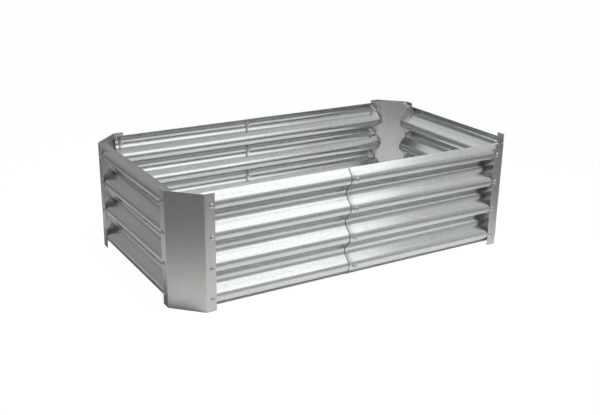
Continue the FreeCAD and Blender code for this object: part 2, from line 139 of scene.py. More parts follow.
class FastenerSizes(bpy.types.PropertyGroup):
    """The bolts and nuts that hold the bed together."""

    head_dia: FloatProperty(
        name="Head diameter", description="Width of the domed head",
        default=0.0125, unit="LENGTH",
    )
    head_height: FloatProperty(
        name="Head height", description="Height of the dome over the sheet",
        default=0.0036, unit="LENGTH",
    )
    head_rim: FloatProperty(
        name="Head rim", description="Height of the upright edge under the dome",
        default=0.0011, unit="LENGTH",
    )
    recess_length: FloatProperty(
        name="Recess length", description="Length of each slot of the driving cross",
        default=0.0060, unit="LENGTH",
    )
    recess_width: FloatProperty(
        name="Recess width", description="Width of each slot of the driving cross",
        default=0.0013, unit="LENGTH",
    )
    recess_depth: FloatProperty(
        name="Recess depth", description="Depth of the driving cross",
        default=0.0018, unit="LENGTH",
    )
    thread_dia: FloatProperty(
        name="Thread diameter", description="Outer diameter of the thread",
        default=0.0060, unit="LENGTH",
    )
    thread_root: FloatProperty(
        name="Thread root", description="Diameter at the bottom of the thread",
        default=0.0049, unit="LENGTH",
    )
    thread_pitch: FloatProperty(
        name="Thread pitch", description="Advance of the thread in one turn",
        default=0.0010, unit="LENGTH",
    )
    tip_bevel: FloatProperty(
        name="Tip bevel", description="Bevel round the bolt's tip",
        default=0.0008, unit="LENGTH",
    )
    nut_flats: FloatProperty(
        name="Nut width", description="Distance over the nut's flats",
        default=0.0100, unit="LENGTH",
    )
    collar_dia: FloatProperty(
        name="Collar diameter", description="Width of the nut's round collar",
        default=0.0140, unit="LENGTH",
    )
    collar_height: FloatProperty(
        name="Collar height", description="Height of the nut's collar",
        default=0.0013, unit="LENGTH",
    )
    segments: IntProperty(
        name="Segments", description="Sides of a round bolt or nut, a multiple of six",
        default=36, min=12,
    )


class FinishSettings(bpy.types.PropertyGroup):
    """Colours and surface of the galvanised steel."""

    wall_color: FloatVectorProperty(
        name="Wall zinc", description="Colour of the walls' bright zinc",
        default=(0.560, 0.578, 0.572), subtype="COLOR", min=0, max=1,
    )
    post_color: FloatVectorProperty(
        name="Post zinc", description="Colour of the posts' satin zinc",
        default=(0.520, 0.520, 0.510), subtype="COLOR", min=0, max=1,
    )
    edge_color: FloatVectorProperty(
        name="Cut edge", description="Colour of the sheets' cut edges",
        default=(0.800, 0.795, 0.780), subtype="COLOR", min=0, max=1,
    )
    bolt_color: FloatVectorProperty(
        name="Bolt plating", description="Colour of the bolts' bright plating",
        default=(0.560, 0.560, 0.550), subtype="COLOR", min=0, max=1,
    )
    nut_color: FloatVectorProperty(
        name="Nut plating", description="Colour of the nuts' duller plating",
        default=(0.800, 0.805, 0.800), subtype="COLOR", min=0, max=1,
    )
    wall_roughness: FloatProperty(
        name="Wall roughness", description="Roughness of the walls' zinc",
        default=0.235, subtype="FACTOR", min=0, max=1,
    )
    post_roughness: FloatProperty(
        name="Post roughness", description="Roughness of the posts' zinc",
        default=0.30, subtype="FACTOR", min=0, max=1,
    )
    edge_roughness: FloatProperty(
        name="Edge roughness", description="Roughness of the sheets' cut edges",
        default=0.50, subtype="FACTOR", min=0, max=1,
    )
    bolt_roughness: FloatProperty(
        name="Bolt roughness", description="Roughness of the bolts' plating",
        default=0.18, subtype="FACTOR", min=0, max=1,
    )
    nut_roughness: FloatProperty(
        name="Nut roughness", description="Roughness of the nuts' plating",
        default=0.35, subtype="FACTOR", min=0, max=1,
    )
    crystal_size: FloatProperty(
        name="Crystal size", description="Width of the zinc's crystals",
        default=0.0028, unit="LENGTH",
    )


class StageSettings(bpy.types.PropertyGroup):
    """Where the photographer stood, and the studio's light."""

    camera_place: FloatVectorProperty(
        name="Camera", description="The camera's place",
        default=(-1.257, -2.060, 0.970), subtype="TRANSLATION",
    )
    camera_azimuth: FloatProperty(
        name="Azimuth", description="Turn of the view from straight at the front wall",
        default=math.radians(-31.01), subtype="ANGLE",
    )
    camera_elevation: FloatProperty(
        name="Elevation", description="How steeply the camera looks down",
        default=math.radians(19.96), subtype="ANGLE",
    )
    camera_roll: FloatProperty(
        name="Roll", description="Tilt of the camera about its own line of sight",
        default=math.radians(0.83), subtype="ANGLE",
    )
    camera_lens: FloatProperty(
        name="Lens", description="Focal length in millimetres on a 36 mm sensor",
        default=53.57,
    )
    world_strength: FloatProperty(
        name="Room light", description="Light that the studio's room gives",
        default=0.20,
    )
    softbox_power: FloatProperty(
        name="Softbox power", description="Power of the large softbox, in watts",
        default=4.9,
    )
    back_share: FloatProperty(
        name="Back share", description="Power of the softbox behind, as a share of the front one",
        default=0.35,
    )
    pool_power: FloatProperty(
        name="Pool power", description="Power of the lamp over the bed, in watts",
        default=166.0,
    )
    floor_color: FloatVectorProperty(
        name="Floor", description="Colour of the pale floor",
        default=(0.86, 0.86, 0.86), subtype="COLOR", min=0, max=1,
    )
    floor_glow: FloatProperty(
        name="Floor white", description="Brightness of the white that the camera sees below",
        default=1.08,
    )
    room_low: FloatProperty(
        name="Room, low", description="Brightness of the room's walls near the floor",
        default=0.48,
    )
    room_high: FloatProperty(
        name="Room, high", description="Brightness of the room overhead",
        default=0.62,
    )
    room_side: FloatProperty(
        name="Room, side", description="How much brighter the room is towards the right",
        default=0.40,
    )


SETTINGS = {
    "bed_sheets": SheetSizes,
    "bed_fasteners": FastenerSizes,
    "bed_finish": FinishSettings,
    "bed_stage": StageSettings,
}


def settings(name):
    """The scene's values of a group of settings."""
    return getattr(bpy.context.scene, name)


# Node groups and materials


class Nodes:
    """Adds nodes to a tree and links them as they are made."""

    def __init__(self, tree):
        self.tree = tree
        tree.nodes.clear()

    def put(self, value, socket):
        """Gives a socket what another one puts out, or a plain value."""
        if isinstance(value, bpy.types.NodeSocket):
            self.tree.links.new(value, socket)
        else:
            socket.default_value = value

    def add(self, kind, inputs=None, **options):
        node = self.tree.nodes.new(kind)
        for name, choice in options.items():
            setattr(node, name, choice)
        for name, value in (inputs or {}).items():
            self.put(value, node.inputs[name])
        return node

    def math(self, operation, first, second):
        """One step of arithmetic on two sockets or numbers."""
        inputs = {0: first, 1: second}
        return self.add("ShaderNodeMath", inputs, operation=operation).outputs[0]

    def product(self, first, *factors):
        """Sockets or numbers multiplied together."""
        for factor in factors:
            first = self.math("MULTIPLY", first, factor)
        return first

    def vector_math(self, operation, output, inputs):
        """One output of a step of vector arithmetic."""
        node = self.add("ShaderNodeVectorMath", inputs, operation=operation)
        return node.outputs[output]

    def remap(self, value, low, high):
        """Carries 0 to 1 onto low to high."""
        inputs = {"Value": value, "To Min": low, "To Max": high}
        return self.add("ShaderNodeMapRange", inputs).outputs["Result"]

    def vary(self, value, reach):
        """A factor that strays by up to reach either side of 1."""
        return self.remap(value, 1 - reach, 1 + reach)

    def tint(self, factor, first, second, blend_type="MIX"):
        """Two colours mixed or blended."""
        node = self.add("ShaderNodeMix", data_type="RGBA", blend_type=blend_type)
        # several of its sockets share a name, and only their identifiers differ
        sockets = {socket.identifier: socket for socket in node.inputs}
        self.put(factor, sockets["Factor_Float"])
        self.put(first, sockets["A_Color"])
        self.put(second, sockets["B_Color"])
        return {socket.identifier: socket for socket in node.outputs}["Result_Color"]


def new_group(name, inputs, outputs):
    """An empty shader group with the sockets named."""
    tree = bpy.data.node_groups.new(name, "ShaderNodeTree")
    nodes = Nodes(tree)
    for socket, (kind, default) in inputs.items():
        made = tree.interface.new_socket(socket, in_out="INPUT", socket_type=kind)
        if default is not None:
            made.default_value = default
    for socket in outputs:
        tree.interface.new_socket(socket, in_out="OUTPUT", socket_type="NodeSocketFloat")
    entry = nodes.add("NodeGroupInput").outputs
    leave = nodes.add("NodeGroupOutput").inputs
    return nodes, entry, leave


def spangle_group():
    """Zinc crystals: flat patches that each catch the light a little differently."""
    nodes, entry, leave = new_group(
        "Zinc spangle",
        {
            "Vector": ("NodeSocketVector", None),
            "Crystal Size": ("NodeSocketFloat", 0.006),
        },
        ("Shade", "Height"),
    )
    # a wobble bends the crystals' borders
    wobble = nodes.add(
        "ShaderNodeTexNoise", {"Vector": entry["Vector"], "Scale": 90.0, "Detail": 2.0}
    )
    swing = (0.004, 0.004, 0.004)
    bent = nodes.vector_math(
        "MULTIPLY_ADD", 0, {0: wobble.outputs["Color"], 1: swing, 2: entry["Vector"]}
    )
    density = nodes.math("DIVIDE", 1.0, entry["Crystal Size"])
    crystals = nodes.add(
        "ShaderNodeTexVoronoi", {"Vector": bent, "Scale": density, "Randomness": 1.0}
    )
    # a crystal's own chance colour gives its shade and how steeply it lies
    chance = nodes.add(
        "ShaderNodeSeparateColor", {"Color": crystals.outputs["Color"]}
    ).outputs
    nodes.put(chance["Red"], leave["Shade"])
    slope = nodes.math("MULTIPLY", crystals.outputs["Distance"], chance["Green"])
    nodes.put(slope, leave["Height"])


def rolling_group():
    """Fine lines that the rolling mill draws along a sheet."""
    nodes, entry, leave = new_group(
        "Rolling lines",
        {
            "Vector": ("NodeSocketVector", None),
            "Along": ("NodeSocketVector", (1.0, 0.0, 0.0)),
            "Fineness": ("NodeSocketFloat", 420.0),
        },
        ("Lines", "Bands"),
    )
    # most of what lies along the sheet is taken out, so the pattern draws out that way
    taken = -0.985
    reach = nodes.vector_math(
        "DOT_PRODUCT", "Value", {0: entry["Vector"], 1: entry["Along"]}
    )
    drawn = nodes.vector_math("SCALE", 0, {0: entry["Along"], "Scale": reach})
    offset = nodes.vector_math("SCALE", 0, {0: drawn, "Scale": taken})
    across = nodes.vector_math("ADD", 0, {0: entry["Vector"], 1: offset})
    fine = nodes.add(
        "ShaderNodeTexNoise",
        {"Vector": across, "Scale": entry["Fineness"], "Detail": 3.0, "Roughness": 0.6},
    )
    broad = nodes.add(
        "ShaderNodeTexNoise", {"Vector": across, "Scale": 45.0, "Detail": 2.0}
    )
    nodes.put(fine.outputs["Fac"], leave["Lines"])
    nodes.put(broad.outputs["Fac"], leave["Bands"])


def clouding_group():
    """Slow clouding of the zinc, and faint smudges left by hands."""
    nodes, entry, leave = new_group(
        "Clouding",
        {"Vector": ("NodeSocketVector", None), "Scale": ("NodeSocketFloat", 7.0)},
        ("Clouds", "Smudges"),
    )
    clouds = nodes.add(
        "ShaderNodeTexNoise",
        {"Vector": entry["Vector"], "Scale": entry["Scale"], "Detail": 3.0},
    )
    spots = nodes.add(
        "ShaderNodeTexNoise",
        {"Vector": entry["Vector"], "Scale": 26.0, "Detail": 4.0, "Distortion": 0.6},
    )
    smudges = nodes.add(
        "ShaderNodeMapRange",
        {"Value": spots.outputs["Fac"], "From Min": 0.56, "From Max": 0.74},
        interpolation_type="SMOOTHSTEP",
    )
    nodes.put(clouds.outputs["Fac"], leave["Clouds"])
    nodes.put(smudges.outputs["Result"], leave["Smudges"])


GROUPS = {
    "Zinc spangle": spangle_group,
    "Rolling lines": rolling_group,
    "Clouding": clouding_group,
}


def place_group(nodes, name, inputs):
    """A shared group in a material, with this material's own values.
    The group is built when it is first asked for."""
    if name not in bpy.data.node_groups:
        GROUPS[name]()
    group = bpy.data.node_groups[name]
    return nodes.add("ShaderNodeGroup", inputs, node_tree=group).outputs


def new_material(name):
    """An empty material, with its nodes."""
    material = bpy.data.materials.new(name)
    material.use_nodes = True
    return material, Nodes(material.node_tree)


def tinted(color, red, green, blue):
    """A colour with each of its channels scaled."""
    return (color[0] * red, color[1] * green, color[2] * blue, 1)


def bare_metal(nodes, color, roughness, relief, strength, depth):
    """Ends a material in metal. depth is what a relief of 1 stands for, in metres."""
    bump = nodes.add(
        "ShaderNodeBump", {"Height": relief, "Strength": strength, "Distance": depth}
    )
    shader = nodes.add(
        "ShaderNodeBsdfPrincipled",
        {
            "Base Color": color,
            "Roughness": roughness,
            "Metallic": 1.0,
            "Normal": bump.outputs["Normal"],
        },
    )
    nodes.add("ShaderNodeOutputMaterial", {"Surface": shader.outputs["BSDF"]})


def zinc(name, color, roughness, along, crystal_share, line_share):
    """A galvanised finish: crystals, rolling lines, clouding and smudges.
    along is the way the sheet was rolled, and the shares say how much shows."""
    crystal_size = settings("bed_finish").crystal_size
    material, nodes = new_material(name)
    spot = nodes.add("ShaderNodeTexCoord").outputs["Object"]
    crystals = place_group(
        nodes, "Zinc spangle", {"Vector": spot, "Crystal Size": crystal_size}
    )
    lines = place_group(nodes, "Rolling lines", {"Vector": spot, "Along": along})
    marks = place_group(nodes, "Clouding", {"Vector": spot})
    darkest = 1 - 0.30 * crystal_share
    lightest = 1 + 0.22 * crystal_share
    level = nodes.product(
        nodes.remap(crystals["Shade"], darkest, lightest),
        nodes.vary(lines["Lines"], 0.12 * line_share),
        nodes.vary(lines["Bands"], 0.14 * line_share),
        nodes.vary(marks["Clouds"], 0.07),
    )
    grey = nodes.add("ShaderNodeCombineColor", {"Red": level, "Green": level, "Blue": level})
    warm = tinted(color, 1.02, 1.0, 0.975)
    cool = tinted(color, 0.975, 1.005, 1.02)
    clouded = nodes.tint(marks["Clouds"], warm, cool)
    base = nodes.tint(1.0, clouded, grey.outputs["Color"], "MULTIPLY")
    smoothest = roughness - 0.05 * crystal_share
    roughest = roughness + 0.06 * crystal_share
    smudge_dulling = 0.02
    smudged = nodes.math(
        "ADD",
        nodes.remap(crystals["Shade"], smoothest, roughest),
        nodes.math("MULTIPLY", marks["Smudges"], smudge_dulling),
    )
    crystal_relief = 0.35 * crystal_share
    line_relief = 0.55 * line_share
    relief = nodes.math(
        "ADD",
        nodes.math("MULTIPLY", crystals["Height"], crystal_relief),
        nodes.math("MULTIPLY", lines["Lines"], line_relief),
    )
    bare_metal(nodes, base, smudged, relief, strength=0.05, depth=0.0006)
    return material


def plating(name, color, roughness):
    """Electroplated zinc on a fastener: fine grain and slow clouding."""
    material, nodes = new_material(name)
    spot = nodes.add("ShaderNodeTexCoord").outputs["Object"]
    marks = place_group(nodes, "Clouding", {"Vector": spot, "Scale": 160.0})
    grain = nodes.add("ShaderNodeTexNoise", {"Vector": spot, "Scale": 2600.0, "Detail": 2.0})
    base = nodes.tint(marks["Clouds"], tinted(color, 1.03, 1.0, 0.95), (*color, 1))
    smoothest = roughness - 0.06
    roughest = roughness + 0.08
    clouded = nodes.remap(marks["Clouds"], smoothest, roughest)
    bare_metal(nodes, base, clouded, grain.outputs["Fac"], strength=0.12, depth=0.0001)
    return material


def finish_material(name):
    """The named material, made when it is first asked for."""
    if name in bpy.data.materials:
        return bpy.data.materials[name]
    finish = settings("bed_finish")
    wall = finish.wall_color, finish.wall_roughness
    post = finish.post_color, finish.post_roughness
    if name == "long_wall_zinc":
        return zinc(name, *wall, X_AXIS, crystal_share=0.25, line_share=0.8)
    if name == "end_wall_zinc":
        return zinc(name, *wall, Y_AXIS, crystal_share=0.25, line_share=0.8)
    if name == "post_zinc":
        return zinc(name, *post, Z_AXIS, crystal_share=0.15, line_share=0.5)
    if name == "cut_edge":
        edge = finish.edge_color, finish.edge_roughness
        return zinc(name, *edge, Z_AXIS, crystal_share=0.2, line_share=1.0)
    if name == "bolt_plating":
        return plating(name, finish.bolt_color, finish.bolt_roughness)
    if name == "nut_plating":
        return plating(name, finish.nut_color, finish.nut_roughness)
    raise KeyError(name)


# Meshes


def points(geometry):
    """The points among what an operator made."""
    return [item for item in geometry if isinstance(item, bmesh.types.BMVert)]


def about_z(turn):
    """The turn, in degrees, that sets a piece against its wall."""
    return Matrix.Rotation(math.radians(turn), 4, "Z")


def turned_box(node, turn):
    """A node's lowest and highest corners, in the front wall's own directions."""
    corners = [about_z(-turn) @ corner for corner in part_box(node)]
    low = Vector(map(min, *corners))
    high = Vector(map(max, *corners))
    return low, high


def uneven(spot, ripple):
    """A slow unevenness by place, from about -1 to 1, with a faint finer one over it."""
    faintness = 0.12
    fineness = 3.1
    return noise.noise(spot / ripple) + faintness * noise.noise(spot / ripple * fineness)


def spun(bm, vert, centre, axis, angle, steps):
    """Carries a point round an axis through a centre, and returns where it ends."""
    made = bmesh.ops.spin(
        bm, geom=[vert], cent=centre, axis=axis, angle=angle, steps=steps, use_merge=False
    )
    return points(made["geom_last"])[0]


def drawn_on(bm, vert, offset, edges=1):
    """Carries a point straight on in equal edges, and returns where it ends."""
    for _ in range(edges):
        vert = bmesh.ops.extrude_vert_indiv(bm, verts=[vert])["verts"][0]
        bmesh.ops.translate(bm, vec=offset / edges, verts=[vert])
    return vert


def drawn_out(bm, offset, cell):
    """Draws a section out into a sheet, cut into cells along the way it went."""
    drawn = bmesh.ops.extrude_edge_only(bm, edges=bm.edges[:])["geom"]
    bmesh.ops.translate(bm, vec=offset, verts=points(drawn))
    half = offset.length_squared / 2
    along = [
        edge for edge in bm.edges
        if abs((edge.verts[0].co - edge.verts[1].co).dot(offset)) > half
    ]
    bmesh.ops.subdivide_edges(
        bm, edges=along, cuts=round(offset.length / cell), use_grid_fill=True
    )


def face_front(bm):
    """Turns a sheet's faces outwards, which is -Y on the front wall."""
    bmesh.ops.recalc_face_normals(bm, faces=bm.faces[:])
    if sum(face.normal.y for face in bm.faces) > 0:
        bmesh.ops.reverse_faces(bm, faces=bm.faces[:])


def thicken(bm, thickness):
    """Gives a sheet its thickness behind its outer face. Cut edges take material 1."""
    skin = set(bm.verts)
    bmesh.ops.solidify(bm, geom=bm.faces[:], thickness=thickness)
    for face in bm.faces:
        outer = sum(vert in skin for vert in face.verts)
        if 0 < outer < len(face.verts):
            face.material_index = 1


def as_mesh(bm, name):
    """Ends a bmesh in a mesh of its own."""
    mesh = bpy.data.meshes.new(name)
    bm.to_mesh(mesh)
    bm.free()
    return mesh


def in_scene(name, content):
    """An object in the scene that holds a mesh, a lamp or a camera."""
    thing = bpy.data.objects.new(name, content)
    bpy.context.scene.collection.objects.link(thing)
    return thing


def finished(name, bm, materials, sharp, node):
    """Makes the mesh a piece of the bed that stands for a node."""
    mesh = as_mesh(bm, name)
    mesh.shade_smooth()
    mesh.set_sharp_from_angle(angle=math.radians(sharp))
    for material in materials:
        mesh.materials.append(finish_material(material))
    piece = in_scene(name, mesh)
    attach(piece, BODY)
    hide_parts(node)


def finished_sheet(name, bm, thickness, turn, material, node):
    """Thickens a sheet's outer face and sets it against its wall."""
    thicken(bm, thickness)
    bmesh.ops.transform(bm, matrix=about_z(turn), verts=bm.verts[:])
    bmesh.ops.recalc_face_normals(bm, faces=bm.faces[:])
    finished(name, bm, (material, "cut_edge"), SHEET_SHARP, node)


def wave_outline(bm, low, top, nest):
    """Draws a panel's outer face in section, up from the valley under the lowest
    crest until it is past the top. nest is how far it lies outside the plain wave."""
    sizes = settings("bed_sheets")
    pitch = sizes.wave_pitch
    depth = sizes.wave_depth
    flank = sizes.flank_length
    # the radius at which two equal arcs and a flank between them make half a wave
    radius = ((pitch / 2) ** 2 + depth**2 - flank**2) / (4 * depth)
    swing = math.atan2(pitch / 2, 2 * radius - depth) - math.atan2(flank, 2 * radius)
    steps = math.ceil(swing / sizes.arc_step)
    crest_radius = radius + nest + sizes.wall_sheet / 2
    valley_radius = radius - nest - sizes.wall_sheet / 2
    crest_y = low.y + crest_radius
    valley_y = crest_y - (2 * radius - depth)
    outwards = Vector((0, -math.sin(swing), math.cos(swing))) * flank
    inwards = Vector((0, math.sin(swing), math.cos(swing))) * flank
    level = sizes.first_crest - pitch / 2
    vert = bm.verts.new((low.x, valley_y + valley_radius, level))
    vert = spun(bm, vert, (low.x, valley_y, level), X_AXIS, swing, steps)
    while level < top:
        crest = (low.x, crest_y, level + pitch / 2)
        valley = (low.x, valley_y, level + pitch)
        vert = drawn_on(bm, vert, outwards)
        vert = spun(bm, vert, crest, X_AXIS, -2 * swing, 2 * steps)
        vert = drawn_on(bm, vert, inwards)
        vert = spun(bm, vert, valley, X_AXIS, 2 * swing, 2 * steps)
        level += pitch


def cut_level(bm, height, way):
    """Takes away what lies past a height. way is 1 for above and -1 for below."""
    bmesh.ops.bisect_plane(
        bm, geom=bm.verts[:] + bm.edges[:] + bm.faces[:], plane_co=(0, 0, height),
        plane_no=(0, 0, way), clear_outer=True,
    )


def wave_panel(node, wall, nest, material):
    """One corrugated panel, drawn as its outer face and then thickened."""
    sizes = settings("bed_sheets")
    turn = TURNS[wall]
    low, high = turned_box(node, turn)
    bm = bmesh.new()
    wave_outline(bm, low, high.z, nest)
    drawn_out(bm, X_AXIS * (high.x - low.x), sizes.cell)
    cut_level(bm, low.z, -1)
    cut_level(bm, high.z, 1)
    face_front(bm)
    # a sheet keeps still near its ends, and a lapping one lifts at its left end
    in_bed = about_z(turn)
    still_share = 0.3
    for vert in bm.verts:
        edge = min(vert.co.x - low.x, high.x - vert.co.x)
        free = min(1.0, max(0.0, edge / sizes.post_chamfer - still_share))
        lip = 1 - (vert.co.x - low.x) / sizes.lip_width
        if nest and lip > 0:
            vert.co.y -= sizes.lip_lift * lip**2
        stray = uneven(in_bed @ vert.co, sizes.ripple)
        vert.co.y += sizes.wall_unevenness * free * (stray + 1) / 2
    name = f"sheet_{node.removeprefix('panel_')}"
    finished_sheet(name, bm, sizes.wall_sheet, turn, material, node)


def corner_post(node, turn):
    """A post bent from one sheet, drawn as its outer face and then thickened."""
    sizes = settings("bed_sheets")
    low, high = turned_box(node, turn)
    leg = sizes.post_chamfer
    outer = sizes.bend_radius + sizes.post_sheet
    bend = math.radians(45)
    set_back = outer * math.tan(bend / 2)
    bend_steps = 6
    flange_edges = 3
    plate_edges = 12
    # flange, bend, plate, bend, flange, from the corner where the walls would meet
    corner = low.copy()
    reach = high.x - low.x
    flange = reach - leg - set_back
    half = leg - set_back * math.sqrt(2)
    first_bend = corner + Vector((leg + set_back, outer, 0))
    second_bend = corner + Vector((outer, leg + set_back, 0))
    bm = bmesh.new()
    vert = bm.verts.new(corner + Vector((reach, 0, 0)))
    vert = drawn_on(bm, vert, Vector((-flange, 0, 0)), flange_edges)
    vert = spun(bm, vert, first_bend, Z_AXIS, -bend, bend_steps)
    vert = drawn_on(bm, vert, Vector((-half, half, 0)), plate_edges)
    vert = spun(bm, vert, second_bend, Z_AXIS, -bend, bend_steps)
    drawn_on(bm, vert, Vector((0, flange, 0)), flange_edges)
    drawn_out(bm, Z_AXIS * (high.z - low.z), sizes.cell)
    face_front(bm)
    # only the plate strays, and its bends hold it straight
    inwards = Vector((1, 1, 0)).normalized()
    for vert in bm.verts:
        spot = vert.co - corner
        share = max(0.0, min(spot.x, spot.y) / leg)
        free = max(0.0, 1 - (1 - 2 * share) ** 2)
        vert.co += inwards * sizes.post_unevenness * free * uneven(spot, sizes.ripple)
    name = f"corner_{node.removeprefix('post_')}"
    finished_sheet(name, bm, sizes.post_sheet, turn, "post_zinc", node)


def revolve(bm, outline, segments):
    """Turns a chain of (radius, depth) points about the bolt's line, which is Y."""
    vert = bm.verts.new((*outline[0], 0))
    for radius, depth in outline[1:]:
        vert = bmesh.ops.extrude_vert_indiv(bm, verts=[vert])["verts"][0]
        vert.co = (radius, depth, 0)
    bmesh.ops.spin(
        bm, geom=bm.verts[:] + bm.edges[:], cent=(0, 0, 0), axis=Y_AXIS, angle=math.tau,
        steps=segments, use_merge=True,
    )
    bmesh.ops.remove_doubles(bm, verts=bm.verts[:], dist=SAME_PLACE)


def bolt_blank(tip):
    """A bolt without its cross and thread. tip is how far its tip lies from its seat."""
    sizes = settings("bed_fasteners")
    head = sizes.head_dia / 2
    rise = sizes.head_height
    rim = sizes.head_rim
    soft = rim / 4
    root = sizes.thread_root / 2
    bevel = sizes.tip_bevel
    dome = ((rise - rim) ** 2 + head**2) / (2 * (rise - rim))
    swing = math.asin(head / dome)
    rings = 10
    turns = [swing * ring / rings for ring in range(rings)]
    outline = [
        (dome * math.sin(turn), dome - rise - dome * math.cos(turn)) for turn in turns
    ]
    outline += [
        (head - soft / 2, -rim - soft / 3),
        (head, -rim + soft / 2),
        (head, -soft),
        (head - soft, 0),
        (root, 0),
        (root, tip - bevel / 2),
        (root - bevel / 2, tip),
        (0, tip),
    ]
    bm = bmesh.new()
    revolve(bm, outline, sizes.segments)
    bmesh.ops.recalc_face_normals(bm, faces=bm.faces[:])
    return as_mesh(bm, "bolt_blank")


def cross_cutter():
    """Two crossed slots, each narrower at its foot, at the crown of a bolt."""
    sizes = settings("bed_fasteners")
    foot_length = 0.45
    foot_width = 0.80
    size = (sizes.recess_length, 2 * sizes.recess_depth, sizes.recess_width, 1)
    bm = bmesh.new()
    for turn in (0, 90):
        slot = bmesh.ops.create_cube(bm, size=1.0)["verts"]
        bmesh.ops.transform(bm, matrix=Matrix.Diagonal(size), verts=slot)
        for vert in slot:
            if vert.co.y > 0:
                vert.co.x *= foot_length
                vert.co.z *= foot_width
        quarter = Matrix.Rotation(math.radians(turn), 3, "Y")
        bmesh.ops.rotate(bm, cent=(0, 0, 0), matrix=quarter, verts=slot)
    bmesh.ops.translate(bm, vec=(0, -sizes.head_height, 0), verts=bm.verts[:])
    return as_mesh(bm, "cross_cutter")


def cut_out(blank_mesh, cutter_mesh):
    """A mesh with another one cut out of it."""
    blank = in_scene("blank", blank_mesh)
    cutter = in_scene("cutter", cutter_mesh)
    cut = blank.modifiers.new("cut", "BOOLEAN")
    cut.operation = "DIFFERENCE"
    cut.solver = "EXACT"
    cut.use_self = True
    cut.object = cutter
    bpy.context.view_layer.update()
    graph = bpy.context.evaluated_depsgraph_get()
    shaped = bpy.data.meshes.new_from_object(blank.evaluated_get(graph))
    for item in (blank, cutter):
        bpy.data.objects.remove(item)
    return shaped


def add_thread(bm, tip):
    """Carries a small triangle up the shank as a helix, its foot sunk in the shank."""
    sizes = settings("bed_fasteners")
    pitch = sizes.thread_pitch
    half = pitch * 0.42
    sink = sizes.thread_root / 2 - pitch / 10
    crest = sizes.thread_dia / 2
    start = pitch
    face = bm.faces.new([
        bm.verts.new((sink, start - half, 0)),
        bm.verts.new((crest, start, 0)),
        bm.verts.new((sink, start + half, 0)),
    ])
    turns = math.floor((tip - sizes.tip_bevel - start) / pitch)
    steps = sizes.segments // 2
    bmesh.ops.spin(
        bm, geom=[*face.verts, *face.edges, face], cent=(0, 0, 0), axis=Y_AXIS,
        dvec=(0, pitch / steps, 0), angle=math.tau * turns, steps=steps * turns,
        use_merge=False,
    )


def bolt_mesh():
    """A domed bolt on Y: its head's seat is at 0 and its tip points along +Y."""
    low, high = turned_box("bolts_front_seam", 0)
    tip = high.y - low.y - settings("bed_fasteners").head_height
    bm = bmesh.new()
    bm.from_mesh(cut_out(bolt_blank(tip), cross_cutter()))
    add_thread(bm, tip)
    bmesh.ops.recalc_face_normals(bm, faces=bm.faces[:])
    return as_mesh(bm, "bolt")


def nut_mesh():
    """A hexagon nut on Y: its collar's foot is at 0 and its top points along +Y."""
    sizes = settings("bed_fasteners")
    low, high = turned_box("nuts_front_seam", 0)
    tall = high.y - low.y
    flat = sizes.nut_flats / 2
    collar = sizes.collar_dia / 2
    foot = sizes.collar_height
    bore = sizes.thread_dia / 2
    soft = foot / 4
    sixth = math.radians(60)
    bevel_slope = 1.6 * math.tan(sixth / 2)

    def hexagon(angle):
        """How far the side lies out at an angle about the nut's line."""
        return flat / math.cos((angle + sixth / 2) % sixth - sixth / 2)

    def rounded(angle):
        """Where the side's foot swells into the collar."""
        return hexagon(angle) + soft / 2

    def side_top(angle):
        """Where the corner bevel meets the side."""
        return tall - (hexagon(angle) - flat) * bevel_slope

    # the radius and the depth of each ring that is drawn from the one before, from the
    # bore out over the collar, up the hexagon and back down the bore
    rings = [
        (collar - soft, 0),
        (collar, soft),
        (collar, foot - soft),
        (collar - soft, foot),
        (rounded, foot + soft),
        (hexagon, foot + 2 * soft),
        (hexagon, side_top),
        (flat - soft / 2, tall),
        (bore + soft, tall),
        (bore, tall - soft),
        (bore, 0),
    ]

    def at(measure, angle):
        """A ring's measure at an angle, where it isn't the same all round."""
        return measure(angle) if callable(measure) else measure

    def set_round(vert, radius, depth, angle):
        """Sets a point at an angle about the nut's line."""
        vert.co = (radius * math.cos(angle), depth, radius * math.sin(angle))

    bm = bmesh.new()
    ring = bmesh.ops.create_circle(bm, segments=sizes.segments, radius=bore)["verts"]
    edges = bm.edges[:]
    for vert in ring:
        set_round(vert, bore, 0, math.atan2(vert.co.y, vert.co.x) % math.tau)
    for radius, depth in rings:
        made = bmesh.ops.extrude_edge_only(bm, edges=edges)["geom"]
        edges = [item for item in made if isinstance(item, bmesh.types.BMEdge)]
        for vert in points(made):
            angle = math.atan2(vert.co.z, vert.co.x) % math.tau
            set_round(vert, at(radius, angle), at(depth, angle), angle)
    bmesh.ops.remove_doubles(bm, verts=bm.verts[:], dist=SAME_PLACE)
    bmesh.ops.recalc_face_normals(bm, faces=bm.faces[:])
    return as_mesh(bm, "nut")


# Every column of bolts and nuts, with the wall that it runs up.
COLUMN_WALLS = {
    "front_left_long": "front",
    "front_seam": "front",
    "front_right_long": "front",
    "front_right_short": "right",
    "back_right_short": "right",
    "back_right_long": "back",
    "back_seam": "back",
    "back_left_long": "back",
    "back_left_short": "left",
    "front_left_short": "left",
}
# A column's piece, its material and its slot in the record.
FASTENERS = {
    "bolts": ("domed_bolts", "bolt_plating", "bolt"),
    "nuts": ("collared_nuts", "nut_plating", "nut"),
}


